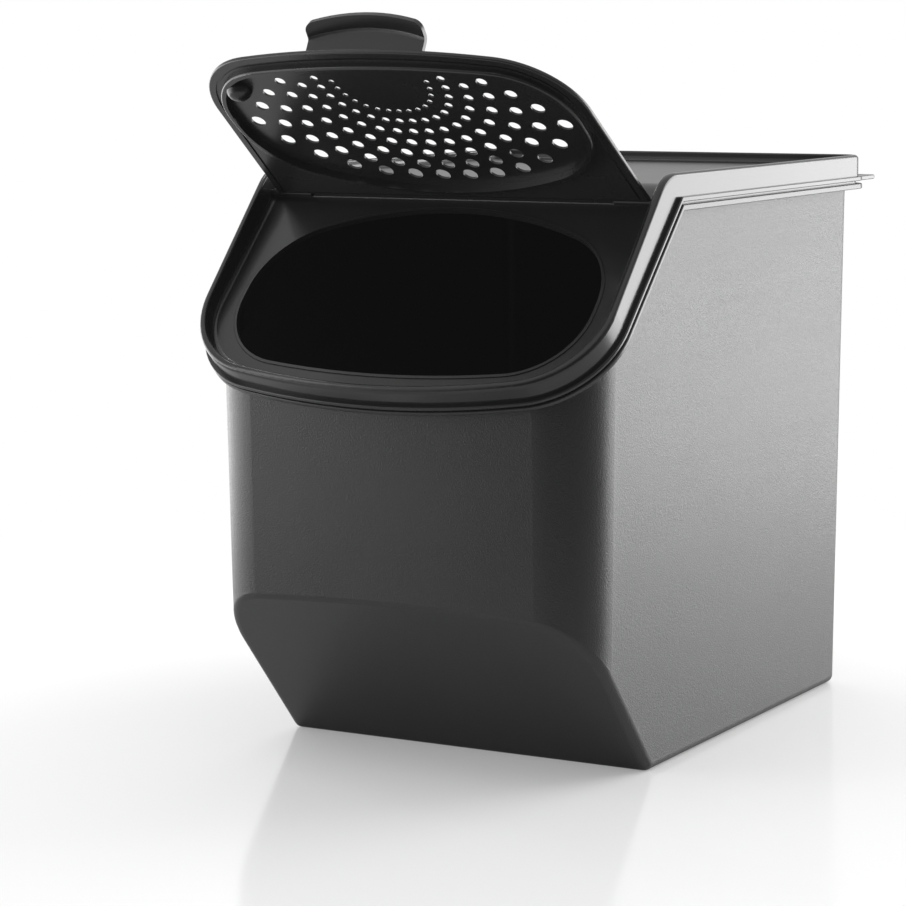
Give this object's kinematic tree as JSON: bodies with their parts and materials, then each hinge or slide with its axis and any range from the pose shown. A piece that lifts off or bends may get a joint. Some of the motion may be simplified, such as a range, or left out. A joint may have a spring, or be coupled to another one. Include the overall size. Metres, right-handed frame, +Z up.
{
  "type": "potato storage bin",
  "caption": "Open-fronted plastic food bin with a chamfered foot, a lift-off lid with a sloped filling opening, and a vented flap with a thumb tab that hinges over the opening.",
  "frame": {"origin": "on the underside of the floor, midway between the side walls and near the middle of the depth", "axes": "+Z up, -Y towards the front with the sloped opening, +X to the right seen from the front"},
  "size_m": [0.1944, 0.2971, 0.3083],
  "materials": {
    "body_plastic": "fine matt texture",
    "lid_plastic": "satin",
    "flap_plastic": "satin"
  },
  "bodies": {
    "bin": {"body": "body_plastic"},
    "lid": {"lid": "lid_plastic"},
    "flap": {"flap": "flap_plastic"}
  },
  "joints": [
    {"name": "lid_lift", "type": "slide", "parent": "bin", "child": "lid", "axis": [0, 0, 1], "range_m": [0, 0.12]},
    {"name": "flap_hinge", "type": "hinge", "parent": "lid", "child": "flap", "pos_m": [0, -0.07131, 0.23306], "axis": [1, 0, 0], "range_deg": [-10, 82.5]}
  ]
}
